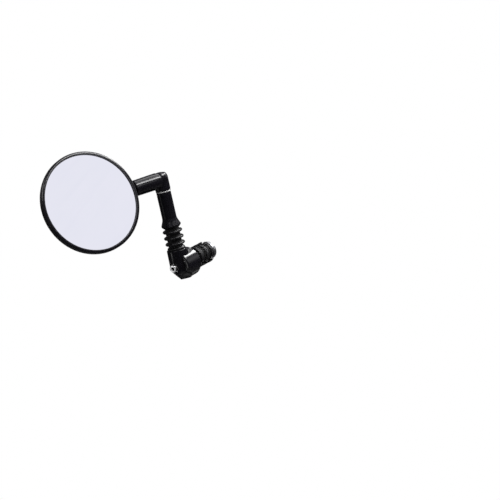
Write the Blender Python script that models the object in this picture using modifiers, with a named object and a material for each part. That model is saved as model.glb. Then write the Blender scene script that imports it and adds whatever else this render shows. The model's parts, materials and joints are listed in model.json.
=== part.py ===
"""Round convex mirror that clamps into the end of a handlebar.

The part's own frame has its origin at the centre of the bar's end face. +X runs along the bar, into it,
+Z runs up the lower arm, and the rider looks at the glass from the -Y side. Lengths below are in millimetres.
"""

import math

import bmesh
import bpy
from mathutils import Matrix, Vector

MM = 0.001
GAP = 0.3  # running and assembly clearance between neighbours

# Driving dimensions
BAR_SEAT_R = 12.4  # outside of the bar-end cap
CAP_LENGTH = 18.0
PLUG_R = 9.0  # flange of the expander's fixed cone, which sits in a shallow recess of the cap
CAP_ROUND = 1.8  # rounding of the cap's edge at the bar
CORNER_OFF = {-1: 17.3, 1: 16.7}  # of the lower flats on the near and far side, from the bar's end
FAR_FLAT_OFF = 8.6  # of the flat behind the housing, from the arm's axis
ARM_X = -13.7  # the lower arm's axis, outboard of the bar's end
BALL_Z = 9.5
BALL_R = 4.5
HOUSING_TOP = 14.2
HOUSING_R = 8.8
BELLOWS_BOTTOM = HOUSING_TOP + GAP
BELLOWS_TOP = 33.0
RIB_HEIGHTS = (19.4, 24.6, 30.0)
ARM_R = 6.1
ARM_BOTTOM = 33.3
ARM_TOP = 63.8
WASHER_THICK = 1.0
ELBOW_BOTTOM = ARM_TOP + WASHER_THICK + 2 * GAP
ELBOW_TOP = 79.9
TUBE_Z = 74.3  # height of the cross tube's axis
TUBE_END = 26.4  # distance from the arm's axis to the cross tube's free end
HEAD_YAW = 21.7  # degrees that the cross tube points forward of straight outboard
HEAD_TILT = 18.8  # degrees that the glass looks up
HEAD_REACH = 70.4  # arm's axis to the middle of the glass
HEAD_DEPTH = 7.0  # cross tube's axis behind the rim's front
RIM_R = 42.7
SIGHT_R = 40.0  # visible radius of the glass
GLASS_R = 41.4
GLASS_CURVE = 300.0  # radius of the convex glass
GLASS_THICK = 1.6
BOLT_R = 2.0
BOLT_HEAD_X = -24.4
BOLT_END = 33.0
BOLT_HEAD_R = 3.3
BOLT_RECESS_R = 3.8
BOLT_HEAD_HEIGHT = 2.8
BOLT_SEAT_X = -20.5  # floor of the recess under the bolt's head
SOCKET_BORE = 6.4  # of the ball joint's housing
CLEARANCE_R = BOLT_R + GAP
HEX_R = 1.5 / math.cos(math.radians(30))  # corners of a 3 mm hexagon socket
CONE_ANGLE = math.radians(25)
CONE_BIG_R, CONE_TIP_R = 7.6, 3.2
FRONT_CONE_X = 3.3  # where the fixed cone starts
NUT_CONE_X = 25.7  # where the moving cone starts
JAW_R = 9.3
JAW_SKIN = 1.4 * GAP / math.cos(CONE_ANGLE)  # how far the jaws' bore stands off the cones
JAW_BORE_R = CLEARANCE_R + 1.6  # of the jaws between the cones
JAW_ENDS = (6.0, 23.0)
JAW_COUNT = 3
JAW_SPAN = 100  # degrees of the circle that one jaw covers
GARTER_X = (11.0, 18.0)
SPINDLE_R = 2.4
SADDLE_X = (-31.0, -24.4)  # extent of the saddle along the spindle, from the middle of the glass
SADDLE_HALF = 10.8
SCREW_SIDE = 8.4

FINE, MEDIUM, COARSE = 48, 32, 20  # flats round a turned piece


# Scene

for leftover in list(bpy.data.objects):
    bpy.data.objects.remove(leftover, do_unlink=True)
for leftover in list(bpy.data.collections):
    bpy.data.collections.remove(leftover)
bpy.context.scene.unit_settings.system = "METRIC"
bpy.context.scene.unit_settings.scale_length = 1.0

parts = bpy.data.collections.new("bike_mirror")
cutters = bpy.data.collections.new("cutters")
for collection in (parts, cutters):
    bpy.context.scene.collection.children.link(collection)
cutters.hide_render = True


def empty(name, location=(0, 0, 0), rotation=(0, 0, 0), parent=None):
    """An axis or frame that pieces are parented to. Rotation is in degrees."""
    made = bpy.data.objects.new(name, None)
    made.location = Vector(location) * MM
    made.rotation_euler = [math.radians(angle) for angle in rotation]
    made.parent = parent
    made.empty_display_size = 0.01
    parts.objects.link(made)
    return made


bar_axis = empty("bar_axis", rotation=(0, 90, 0))  # its Z is the bar's axis
arm_axis = empty("arm_axis", location=(ARM_X, 0, 0))
elbow_frame = empty("elbow_frame", rotation=(0, 0, 180 - HEAD_YAW), parent=arm_axis)  # its X is the tube
tube_axis = empty("tube_axis", (0, 0, TUBE_Z), (0, 90, 0), elbow_frame)
head_frame = empty("head_frame", (HEAD_REACH, 0, TUBE_Z), (HEAD_TILT, 0, 0), elbow_frame)
glass_axis = empty("glass_axis", (0, HEAD_DEPTH, 0), (-90, 0, 0), head_frame)
spindle_axis = empty("spindle_axis", (0, 0, 0), (0, 90, 0), head_frame)


# Materials


def material(name, colour, roughness, metallic=0.0):
    made = bpy.data.materials.new(name)
    made.use_nodes = True
    shader = made.node_tree.nodes["Principled BSDF"]
    shader.inputs["Base Color"].default_value = (*colour, 1.0)
    shader.inputs["Roughness"].default_value = roughness
    shader.inputs["Metallic"].default_value = metallic
    return made


SATIN_PLASTIC = ((0.012, 0.011, 0.016), 0.35)
INNER_PLASTIC = ((0.03, 0.03, 0.032), 0.5)
NYLON = ((0.55, 0.54, 0.5), 0.5)
RUBBER = ((0.012, 0.012, 0.013), 0.6)
FOAM = ((0.04, 0.04, 0.04), 0.95)
MIRROR = ((0.78, 0.78, 0.9), 0.02, 1.0)
STEEL = ((0.62, 0.62, 0.64), 0.25, 1.0)
BRASS = ((0.75, 0.55, 0.25), 0.3, 1.0)
ZINC = ((0.5, 0.5, 0.52), 0.4, 1.0)


# Shapes


def arc(centre, radius, start, end, count):
    """Points on a circle of (radius from the axis, height), from one angle to another in degrees."""
    angles = [math.radians(start + (end - start) * step / count) for step in range(count + 1)]
    return [(centre[0] + radius * math.cos(a), centre[1] + radius * math.sin(a)) for a in angles]


def add(name, mesh, parent, finish, collection=parts):
    made = bpy.data.objects.new(name, mesh)
    made.parent = parent
    collection.objects.link(made)
    if finish:
        mesh.materials.append(material(name, *finish))
    if collection is cutters:
        made.hide_render = True
        made.display_type = "WIRE"
    return made


def turned(name, profile, parent, finish=None, flats=COARSE, collection=parts):
    """A profile of (radius, height) swept round its parent's Z. It closes on itself unless it ends on
    the axis."""
    mesh = bpy.data.meshes.new(name)
    points = [(radius * MM, 0, height * MM) for radius, height in profile]
    edges = [(i, i + 1) for i in range(len(points) - 1)]
    if profile[0][0] > 0:
        edges.append((len(points) - 1, 0))
    mesh.from_pydata(points, edges, [])
    made = add(name, mesh, parent, finish, collection)
    screw = made.modifiers.new("turn", "SCREW")
    screw.axis = "Z"
    screw.steps = screw.render_steps = flats
    screw.use_merge_vertices = True
    screw.merge_threshold = 0.00001
    screw.use_smooth_shade = True
    return made


def block(name, low, high, parent, finish=None, collection=parts, turn=None):
    """A box between two corners, in its parent's frame, after an optional turn about the parent's origin."""
    mesh = bpy.data.meshes.new(name)
    shape = bmesh.new()
    bmesh.ops.create_cube(shape, size=1.0)
    size = [(b - a) * MM for a, b in zip(low, high)]
    middle = Vector([(a + b) / 2 * MM for a, b in zip(low, high)])
    place = Matrix.Translation(middle) @ Matrix.Diagonal((*size, 1.0))
    bmesh.ops.transform(shape, matrix=(turn or Matrix()) @ place, verts=shape.verts)
    shape.to_mesh(mesh)
    shape.free()
    return add(name, mesh, parent, finish, collection)


def rod(name, radius, low, high, parent, at=(0, 0), flats=COARSE, finish=None, collection=cutters):
    """An upright cylinder or prism in its parent's frame."""
    mesh = bpy.data.meshes.new(name)
    shape = bmesh.new()
    bmesh.ops.create_cone(
        shape, cap_ends=True, segments=flats,
        radius1=radius * MM, radius2=radius * MM, depth=(high - low) * MM,
    )
    middle = Vector((at[0], at[1], (low + high) / 2)) * MM
    bmesh.ops.translate(shape, vec=middle, verts=shape.verts)
    shape.to_mesh(mesh)
    shape.free()
    return add(name, mesh, parent, finish, collection)


def combine(target, other, operation="DIFFERENCE"):
    step = target.modifiers.new(other.name, "BOOLEAN")
    step.operation = operation
    step.object = other
    step.solver = "EXACT"


def ring(name, inner, outer, low, high, parent, finish, flats=COARSE):
    """A plain washer or tube."""
    return turned(name, [(inner, high), (outer, high), (outer, low), (inner, low)], parent, finish, flats)


# Clamp that holds the mirror in the bar


def jaw_inner(height):
    """Radius of the jaws' bore at a height: parallel to the cones, with a gap, and plain in the middle."""
    nearest = min(height - FRONT_CONE_X, NUT_CONE_X - height)
    return max(CONE_BIG_R + JAW_SKIN - nearest * math.tan(CONE_ANGLE), JAW_BORE_R)


def make_expander():
    tip = (CONE_BIG_R - CONE_TIP_R) / math.tan(CONE_ANGLE)
    turned(
        "front_cone",
        [(CLEARANCE_R, FRONT_CONE_X + tip), (CONE_TIP_R, FRONT_CONE_X + tip), (CONE_BIG_R, FRONT_CONE_X),
         (PLUG_R, FRONT_CONE_X), (PLUG_R, 0.6), (PLUG_R - 0.3, GAP), (CLEARANCE_R, GAP)],
        bar_axis, INNER_PLASTIC, MEDIUM,
    )
    turned(
        "cone_nut",
        [(CLEARANCE_R, 28.7), (7.2, 28.7), (CONE_BIG_R, 28.3), (CONE_BIG_R, NUT_CONE_X),
         (CONE_TIP_R, NUT_CONE_X - tip), (CLEARANCE_R, NUT_CONE_X - tip)],
        bar_axis, ZINC, MEDIUM,
    )
    low, high = JAW_ENDS
    bend = (CONE_BIG_R + JAW_SKIN - JAW_BORE_R) / math.tan(CONE_ANGLE)
    inner = [(jaw_inner(h), h) for h in (low, FRONT_CONE_X + bend, NUT_CONE_X - bend, high)]
    groove, half = 7.6, 2.1
    outer = [(JAW_R, high)]
    for centre in reversed(GARTER_X):
        outer += [(JAW_R, centre + half), (groove, centre + half)]
        outer += [(groove, centre - half), (JAW_R, centre - half)]
    outer.append((JAW_R, low))
    for number in range(JAW_COUNT):
        jaw = turned(f"jaw_{number + 1}", outer + inner, bar_axis, INNER_PLASTIC, MEDIUM)
        middle = 360 / JAW_COUNT * number
        for side in (-1, 1):
            turn = Matrix.Rotation(math.radians(middle + side * JAW_SPAN / 2), 4, "Z")
            beyond = block(
                f"jaw_{number + 1}_side_{side}",
                (-15, -20 if side < 0 else 0, -1), (15, 0 if side < 0 else 20, 40),
                bar_axis, None, cutters, turn,
            )
            combine(jaw, beyond)
    for name, centre in zip(("garter_front", "garter_rear"), GARTER_X):
        turned(name, arc((8.75, centre), 0.45, 90, -210, 5), bar_axis, RUBBER, MEDIUM)


def make_bolt():
    under_head = BOLT_HEAD_X + BOLT_HEAD_HEIGHT
    bolt = turned(
        "clamp_bolt",
        [(0, BOLT_END), (BOLT_R - 0.4, BOLT_END), (BOLT_R, BOLT_END - 0.4), (BOLT_R, under_head),
         (BOLT_HEAD_R, under_head), (BOLT_HEAD_R, BOLT_HEAD_X + 0.4), (BOLT_HEAD_R - 0.4, BOLT_HEAD_X),
         (0, BOLT_HEAD_X)],
        bar_axis, STEEL, 32,
    )
    combine(bolt, rod("bolt_hex", HEX_R, BOLT_HEAD_X - 1, BOLT_HEAD_X + 1.8, bar_axis, flats=6))
    low, high = under_head + GAP, BOLT_SEAT_X - GAP
    ring("bolt_washer", CLEARANCE_R, BOLT_RECESS_R - GAP, low, high, bar_axis, STEEL, 32)


# Base: the cap on the bar's end and the ball joint's housing


def flat_cutter(name, direction, distance, parent):
    """A block whose face is square to a direction and cuts a flat at a distance from the parent's origin."""
    turn = Vector(direction).to_track_quat("Z", "Y").to_matrix().to_4x4()
    return block(name, (-40, -40, distance), (40, 40, distance + 20), parent, None, cutters, turn)


def make_base():
    edge = 1.0
    cap = turned(
        "bar_end_cap",
        [(CLEARANCE_R, -GAP), (PLUG_R + GAP, -GAP), (PLUG_R + GAP, 0)]
        + arc((BAR_SEAT_R - CAP_ROUND, -CAP_ROUND), CAP_ROUND, 90, 0, 5)
        + arc((BAR_SEAT_R - edge, edge - CAP_LENGTH), edge, 0, -90, 4)
        + [(CLEARANCE_R, -CAP_LENGTH)],
        bar_axis, SATIN_PLASTIC, FINE,
    )
    floor, bore, skirt = 3.4, SOCKET_BORE, -11.6
    housing = turned(
        "knuckle_housing",
        [(0, floor), (bore, floor), (bore, HOUSING_TOP), (8.0, HOUSING_TOP), (8.4, HOUSING_TOP - 0.4)]
        + arc((HOUSING_R - 3.1, skirt + 3.1), 3.1, 0, -90, 6)
        + [(0, skirt)],
        arm_axis, SATIN_PLASTIC, FINE,
    )
    saddle = rod("cap_saddle", HOUSING_R + GAP, -20, 20, arm_axis, flats=FINE)
    passage = turned(
        "bolt_passage",
        [(0, 5), (CLEARANCE_R, 5), (CLEARANCE_R, BOLT_SEAT_X), (BOLT_RECESS_R, BOLT_SEAT_X),
         (BOLT_RECESS_R, -30), (0, -30)],
        bar_axis, flats=32, collection=cutters,
    )
    corners = [
        flat_cutter(f"corner_{side}", (-0.58, side * 0.54, -0.61), distance, None)
        for side, distance in CORNER_OFF.items()
    ]
    combine(cap, saddle)
    combine(cap, flat_cutter("far_flat", (-0.608, 0.794, 0), FAR_FLAT_OFF, arm_axis))
    combine(housing, passage)
    for piece in (cap, housing):
        for corner in corners:
            combine(piece, corner)

    seat = BALL_R + GAP
    hole = 2.0
    fitted = SOCKET_BORE - GAP
    turned(
        "ball_cup",
        [(fitted, 9.0), (fitted, 4.7), (hole, 4.7)]
        + arc((0, BALL_Z), seat, math.degrees(math.asin(-math.sqrt(1 - (hole / seat) ** 2))), -6, 6),
        arm_axis, NYLON,
    )
    turned("preload_spring", [(2.2, 4.4), (fitted, 4.0), (fitted, 3.7), (2.2, 4.1)], arm_axis, STEEL)
    nut = turned(
        "retaining_nut",
        [(4.3, 13.7), (fitted, 13.7), (fitted, 9.4)] + arc((0, BALL_Z), seat, 0, 45, 6),
        arm_axis, STEEL,
    )
    combine(nut, block("nut_slot", (-8, -0.8, 12.8), (8, 0.8, 15), arm_axis, None, cutters))


def make_bellows():
    """A thin rubber sleeve with three round ribs, over the ball joint's neck."""
    wall, groove, crest, half = 1.3, 6.05, 8.3, 1.05
    outer = [(5.9, BELLOWS_TOP), (groove, BELLOWS_TOP - 0.3)]
    inner = [(4.6, BELLOWS_TOP)]
    for height in reversed(RIB_HEIGHTS):
        outer.append((groove, height + half + 0.5))
        outer += arc((crest - half, height), half, 75, -75, 3)
        outer.append((groove, height - half - 0.5))
        inner += [(groove - wall, height + 1.6), (crest - half - 1.0, height)]
        inner.append((groove - wall, height - 1.6))
    outer += [(groove + 0.1, 16.9), (7.5, 15.6), (7.5, BELLOWS_BOTTOM)]
    inner.append((groove - wall, BELLOWS_BOTTOM))
    turned("bellows", outer + inner[::-1], arm_axis, RUBBER, 24)


# Lower arm


def make_arm():
    neck, shank = 2.2, 2.6
    stud = [(0, 44.0), (shank - 0.3, 44.0), (shank, 43.7), (shank, 31.0), (neck, 30.6)]
    stud += arc((0, BALL_Z), BALL_R, math.degrees(math.acos(neck / BALL_R)), -90, 8)
    stud[-1] = (0, BALL_Z - BALL_R)
    turned("ball_stud", stud, arm_axis, STEEL, 32)
    flare = [(ARM_R, 41.2), (6.35, 40.2), (6.9, 38.6), (8.0, 36.0), (8.15, 35.2), (8.0, 34.7)]
    turned(
        "lower_arm",
        [(0, 52.0), (3.9, 52.0), (3.9, ARM_TOP), (ARM_R - 0.3, ARM_TOP), (ARM_R, ARM_TOP - 0.3)]
        + flare
        + [(6.95, ARM_BOTTOM), (4.3, ARM_BOTTOM), (4.3, 31.0), (shank + GAP, 31.0), (shank + GAP, 44.5)]
        + [(0, 44.5)],
        arm_axis, SATIN_PLASTIC, MEDIUM,
    )
    ring("swivel_insert", CLEARANCE_R - 0.1, 3.6, 52.3, ARM_TOP - GAP, arm_axis, BRASS)
    washer_low = ARM_TOP + GAP
    ring("swivel_washer", CLEARANCE_R, 6.25, washer_low, washer_low + WASHER_THICK, arm_axis, NYLON, MEDIUM)


# Elbow and cross tube


def make_elbow():
    floor, counterbore = 70.2, 4.2
    elbow = turned(
        "elbow",
        [(0, ELBOW_TOP), (4.9, ELBOW_TOP), (5.9, 78.5), (6.45, 76.4), (6.45, 66.5), (6.2, ELBOW_BOTTOM),
         (0, ELBOW_BOTTOM)],
        arm_axis, SATIN_PLASTIC, MEDIUM,
    )
    socket, socket_floor = 3.0 + GAP, 8.6
    tube = turned(
        "cross_tube",
        [(0, socket_floor), (socket, socket_floor), (socket, TUBE_END), (6.35, TUBE_END),
         (6.65, TUBE_END - 0.3), (6.9, 3.0), (6.5, 2.0), (0, 2.0)],
        tube_axis, flats=MEDIUM, collection=cutters,
    )
    combine(elbow, tube, "UNION")
    shaft = turned(
        "elbow_bore",
        [(0, 90), (counterbore, 90), (counterbore, floor), (CLEARANCE_R, floor), (CLEARANCE_R, 60),
         (0, 60)],
        arm_axis, flats=32, collection=cutters,
    )
    combine(elbow, shaft)
    grub_at = (17.0, 0)
    combine(elbow, rod("grub_hole", 1.5 + GAP, 60, 72.6, elbow_frame, grub_at))

    turned(
        "elbow_plug",
        [(0, 80.7), (2.2, 80.5), (3.4, 80.1), (3.9, 79.6), (3.9, 77.6), (0, 77.6)],
        arm_axis, SATIN_PLASTIC, 32,
    )
    screw = turned(
        "swivel_screw",
        [(0, 77.2), (3.2, 77.2), (3.5, 76.9), (3.5, 73.2), (1.9, 73.2), (1.9, 54.8), (1.5, 54.4),
         (0, 54.4)],
        arm_axis, STEEL,
    )
    combine(screw, rod("screw_hex", HEX_R, 75.2, 78, arm_axis, flats=6))
    turned("cone_spring", [(2.3, 72.8), (3.9, 72.1), (3.9, 71.5), (2.3, 72.2)], arm_axis, STEEL)
    ring("thrust_washer", CLEARANCE_R, 3.9, floor + GAP, 71.1, arm_axis, STEEL)

    groove = HEAD_REACH - 22.8
    turned(
        "pivot_spindle",
        [(0, groove + 2.2), (SPINDLE_R - 0.3, groove + 2.2), (SPINDLE_R, groove + 1.9),
         (SPINDLE_R, groove + 1.0), (1.9, groove + 1.0), (1.9, groove), (SPINDLE_R, groove),
         (SPINDLE_R, 25.8), (3.0, 25.8), (3.0, 9.3), (2.7, 9.0), (0, 9.0)],
        tube_axis, STEEL,
    )
    grub_low, grub_high = TUBE_Z - 6.6, TUBE_Z - 3.3
    rod("spindle_grub", 1.5, grub_low, grub_high, elbow_frame, grub_at, finish=STEEL, collection=parts)
    clip = ring("retaining_clip", 2.2, 4.0, -22.65, -21.95, spindle_axis, STEEL)
    combine(clip, block("clip_mouth", (0, -1.6, -24), (6, 1.6, -20), spindle_axis, None, cutters))


# Mirror head


def glass_rise(radius):
    """How far the convex glass stands above its own edge at a radius."""
    return math.sqrt(GLASS_CURVE**2 - radius**2) - math.sqrt(GLASS_CURVE**2 - GLASS_R**2)


def dome(radius, height, depth, count):
    """Half of a flattened oval, from its middle to its edge."""
    power = 2.4
    angles = [math.pi / 2 * step / count for step in range(count + 1)]
    return [
        (radius * math.sin(a) ** (2 / power), height - depth * max(math.cos(a), 0) ** (2 / power))
        for a in angles
    ]


def make_head():
    edge = -1.2
    radii = [GLASS_R * step / 4 for step in range(5)]
    front = [(radius, edge + glass_rise(radius)) for radius in radii]
    back = [(radius, edge - GLASS_THICK + glass_rise(radius)) for radius in reversed(radii)]
    turned("mirror_glass", front + back, glass_axis, MIRROR, FINE)
    ring("glass_pad", 39.8, 41.2, -3.45, -3.0, glass_axis, FOAM, FINE)
    turned(
        "mirror_rim",
        [(SIGHT_R + 0.2, 0)] + arc((RIM_R - 0.7, -0.7), 0.7, 90, 0, 3)
        + [(RIM_R, -2.6), (41.7, -2.6), (41.7, -0.75), (SIGHT_R, -0.75), (SIGHT_R, -0.2)],
        glass_axis, SATIN_PLASTIC, FINE,
    )
    shelf = -3.9
    inner = dome(39.4, -4.4, 8.2, 5)
    outer = dome(RIM_R, -3.6, 10.8, 7)[::-1]
    shell = turned(
        "mirror_shell",
        inner + [(39.4, shelf), (41.7, shelf), (41.7, -2.9), (RIM_R - 0.2, -2.9), (RIM_R, -3.1)] + outer,
        glass_axis, SATIN_PLASTIC, FINE,
    )
    boss = turned(
        "shell_boss",
        [(0, -32.6), (6.3, -32.6), (6.3, -43.1), (6.0, -43.4), (0, -43.4)],
        spindle_axis, flats=30, collection=cutters,
    )
    boss_top = HEAD_DEPTH - 3.75
    combine(boss, block("boss_flat", (-60, boss_top, -15), (0, 20, 15), head_frame, None, cutters))
    low, high = SADDLE_X
    cradle = block(
        "shell_cradle", (low, HEAD_DEPTH - 11.5, -SADDLE_HALF), (high, -GAP, SADDLE_HALF),
        head_frame, None, cutters,
    )
    combine(shell, boss, "UNION")
    combine(shell, cradle, "UNION")
    pocket = turned(
        "spindle_pocket",
        [(0, -15), (3.8, -15), (3.8, low - 0.5), (SPINDLE_R + GAP, low - 0.5), (SPINDLE_R + GAP, -50),
         (0, -50)],
        spindle_axis, flats=32, collection=cutters,
    )
    combine(shell, pocket)

    saddle_top = HEAD_DEPTH - 2.3
    saddle = block(
        "pivot_saddle", (low, 0, -SADDLE_HALF), (high, saddle_top, SADDLE_HALF), head_frame, NYLON
    )
    combine(saddle, pocket)
    ring("friction_sleeve", SPINDLE_R + GAP, 3.5, low, high, spindle_axis, NYLON)
    middle = (low + high) / 2
    for number, side in enumerate((-1, 1), 1):
        at = (middle, side * SCREW_SIDE)
        combine(shell, rod(f"pilot_{number}", 1.25, -11.0, -5, glass_axis, (at[0], -at[1]), 16))
        hole = turned(
            f"screw_hole_{number}",
            [(0, 5), (2.5, 5), (2.5, -4.4), (1.25, -4.4), (1.25, -12), (0, -12)],
            glass_axis, flats=16, collection=cutters,
        )
        hole.location = Vector((at[0], -at[1], 0)) * MM
        combine(saddle, hole)
        screw = turned(
            f"saddle_screw_{number}",
            [(0, -2.6), (1.9, -2.6), (2.2, -2.9), (2.2, -4.1), (0.95, -4.1), (0.95, -10.3), (0, -10.7)],
            glass_axis, STEEL, 16,
        )
        screw.location = Vector((at[0], -at[1], 0)) * MM


make_expander()
make_bolt()
make_base()
make_bellows()
make_arm()
make_elbow()
make_head()
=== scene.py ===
# %% [markdown]
# # A round bar-end mirror in Blender
#
# The mirror is a convex glass in a round head, on a short cross tube, an elbow and an upright arm. A
# ribbed rubber sleeve hides a ball joint, and an expander holds everything in the end of a handlebar. The
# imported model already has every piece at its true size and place. This lesson gives the visible pieces
# their fine surfaces and every piece its finish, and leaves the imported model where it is.

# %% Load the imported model
import json
import math

import bpy
import numpy as np
from mathutils import Matrix, Vector


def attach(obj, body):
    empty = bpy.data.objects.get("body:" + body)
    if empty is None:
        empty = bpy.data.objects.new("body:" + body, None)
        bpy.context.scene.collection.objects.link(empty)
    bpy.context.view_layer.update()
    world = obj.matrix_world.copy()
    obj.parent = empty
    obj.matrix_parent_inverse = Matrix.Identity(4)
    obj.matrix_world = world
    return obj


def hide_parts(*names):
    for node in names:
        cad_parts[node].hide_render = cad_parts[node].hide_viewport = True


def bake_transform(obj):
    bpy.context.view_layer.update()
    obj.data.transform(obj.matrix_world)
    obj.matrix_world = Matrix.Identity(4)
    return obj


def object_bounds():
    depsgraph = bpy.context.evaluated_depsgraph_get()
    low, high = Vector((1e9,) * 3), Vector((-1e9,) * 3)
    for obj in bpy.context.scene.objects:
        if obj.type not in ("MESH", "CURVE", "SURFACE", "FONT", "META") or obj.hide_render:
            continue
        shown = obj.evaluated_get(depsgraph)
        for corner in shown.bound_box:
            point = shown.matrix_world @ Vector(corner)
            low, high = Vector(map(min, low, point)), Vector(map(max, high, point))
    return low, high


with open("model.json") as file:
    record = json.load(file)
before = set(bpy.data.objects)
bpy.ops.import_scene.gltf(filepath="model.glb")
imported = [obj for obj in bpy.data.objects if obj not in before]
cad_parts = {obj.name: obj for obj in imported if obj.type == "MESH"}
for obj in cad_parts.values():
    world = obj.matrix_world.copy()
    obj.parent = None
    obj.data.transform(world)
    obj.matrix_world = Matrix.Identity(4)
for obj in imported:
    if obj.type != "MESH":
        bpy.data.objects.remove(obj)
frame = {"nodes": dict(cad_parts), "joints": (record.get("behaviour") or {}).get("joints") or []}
cad_low, cad_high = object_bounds()
print("packed model, mm:", [round((high - low) * 1000, 1) for low, high in zip(cad_low, cad_high)])

# %% [markdown]
# ## The axes that the pieces are turned about
#
# Nearly every piece of this mirror is round, so each is easiest to describe along its own axis. The
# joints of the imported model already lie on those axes: the bar, the upright arm and the spindle inside
# the cross tube. A place is an origin and three unit directions, and a piece worked out in its own
# millimetres is carried to the frame by one sum. Nothing is moved afterwards, so each finished object
# sits at the origin.

# %% Places along the joints
MM = 0.001
HEAD_TILT = math.radians(18.8)  # how far the glass looks up
TUBE_HEIGHT = 74.3  # of the cross tube's axis above the bar's axis
GLASS_AHEAD = 7.0  # front of the rim, ahead of the spindle's axis


def unit(vector):
    """A vector divided by its length."""
    return np.asarray(vector, float) / np.linalg.norm(vector)


class Place:
    """Where a piece's own x, y and z lie: point = origin + x * across + y * (along x across) + z *
    along."""

    def __init__(self, origin, along, across):
        z = unit(along)
        x = unit(np.asarray(across, float) - np.dot(across, z) * z)
        self.origin = np.asarray(origin, float)
        self.axes = np.array([x, np.cross(z, x), z])

    def points(self, own):
        return self.origin + np.asarray(own, float) @ self.axes

    def matrix(self):
        turn = Matrix(self.axes.T.tolist()).to_4x4()
        return Matrix.Translation(Vector(self.origin)) @ turn


joints = {joint["name"]: joint for joint in frame["joints"]}


def joint_origin(name):
    """Where a joint's axis passes, in millimetres."""
    return np.array(joints[name]["pos_m"], float) / MM


UP = np.array([0.0, 0.0, 1.0])
spindle = unit(joints["head_tilt"]["axis"])
level_front = np.cross(UP, spindle)
glass_normal = math.cos(HEAD_TILT) * level_front + math.sin(HEAD_TILT) * UP
head_centre = joint_origin("head_tilt")
arm_foot = joint_origin("arm_tilt") * (1, 1, 0)

bar = Place((0, 0, 0), (1, 0, 0), (0, 0, -1))
arm = Place(arm_foot, UP, (1, 0, 0))
tube = Place(arm_foot + TUBE_HEIGHT * UP, spindle, level_front)
glass = Place(head_centre + GLASS_AHEAD * glass_normal, glass_normal, spindle)
head = Place(head_centre, np.cross(spindle, glass_normal), spindle)
print("arm stands at", arm.origin.round(2), "and the glass looks along", glass.axes[2].round(3))

# %% [markdown]
# ## The camera
#
# A long lens far away keeps the round head nearly free of perspective. The camera stands in front of the
# glass, outboard of the bar and a little above it, and is rolled slightly, so that the upright arm leans
# in the frame. It aims past the object, which therefore sits left of the middle.

# %% Camera
VIEW_AZIMUTH = math.radians(-52.56)  # from looking along +Y, turned towards the bar's outer end
VIEW_HEIGHT = math.radians(12.64)  # above the horizon
VIEW_ROLL = math.radians(-12.51)
VIEW_DISTANCE = 1751.4
AIM = np.array([30.72, -41.06, -2.54])

toward_camera = np.array([
    math.sin(VIEW_AZIMUTH) * math.cos(VIEW_HEIGHT),
    -math.cos(VIEW_AZIMUTH) * math.cos(VIEW_HEIGHT),
    math.sin(VIEW_HEIGHT),
])
camera_data = bpy.data.cameras.new("camera")
camera_data.lens = 150
camera_data.sensor_width = 36
camera_data.clip_end = 100
camera = bpy.data.objects.new("camera", camera_data)
camera.location = (AIM + VIEW_DISTANCE * toward_camera) * MM
looking = Vector(-toward_camera).to_track_quat("-Z", "Y")
camera.rotation_euler = (looking.to_matrix() @ Matrix.Rotation(VIEW_ROLL, 3, "Z")).to_euler()
bpy.context.scene.collection.objects.link(camera)
bpy.context.scene.camera = camera
print("camera at", [round(c, 3) for c in camera.location])

# %% [markdown]
# ## Studio
#
# Black plastic is drawn by what it reflects. A plain pale floor and backdrop stand around the object. A
# long softbox overhead draws the bright line on the cross tube, wider ones beside it give the soft grey
# above it, and one behind lights the cap. Blurred reflections see a dim room, so that the plastic stays
# black. Sharp ones, which only the mirror makes, see the white studio.

# %% Floor and room
scene = bpy.context.scene
scene.view_settings.view_transform = "Standard"
ROOM_GLOW = 0.10  # what blurred reflections and shading see of the room


def feed(tree, socket, value):
    """Links another node's result to an input, or sets the input to a plain value."""
    if isinstance(value, bpy.types.NodeSocket):
        tree.links.new(value, socket)
    else:
        socket.default_value = value


def node(tree, kind, **inputs):
    """Adds a node, and sets or links its inputs by name, with _ for a space."""
    made = tree.nodes.new(kind)
    for name, value in inputs.items():
        feed(tree, made.inputs[name.replace("_", " ")], value)
    return made


def arithmetic(tree, operation, first, second=0.0, third=0.0, clamp=False):
    """A math node on numbers or sockets, and its result."""
    made = tree.nodes.new("ShaderNodeMath")
    made.operation, made.use_clamp = operation, clamp
    for socket, value in zip(made.inputs, (first, second, third)):
        feed(tree, socket, value)
    return made.outputs[0]


def seen_sharply(tree):
    """1 for the camera's rays and for sharp reflections, and 0 for all others."""
    ray = tree.nodes.new("ShaderNodeLightPath")
    return arithmetic(tree, "MAXIMUM", ray.outputs["Is Camera Ray"], ray.outputs["Is Singular Ray"])


def end_in_mix(tree, first, second, share):
    """Ends a material in a mix of two shaders, all of the second where the share is 1."""
    mixed = node(tree, "ShaderNodeMixShader", Fac=share)
    tree.links.new(first.outputs[0], mixed.inputs[1])
    tree.links.new(second.outputs[0], mixed.inputs[2])
    tree.links.new(mixed.outputs[0], tree.nodes.new("ShaderNodeOutputMaterial").inputs[0])


world = bpy.data.worlds.new("studio")
scene.world = world
world.use_nodes = True
room = world.node_tree
room.nodes.clear()
brightness = arithmetic(room, "MULTIPLY_ADD", seen_sharply(room), 1 - ROOM_GLOW, ROOM_GLOW)
backdrop = node(room, "ShaderNodeBackground", Color=(1, 1, 1, 1), Strength=brightness)
room.links.new(backdrop.outputs[0], room.nodes.new("ShaderNodeOutputWorld").inputs[0])

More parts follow.
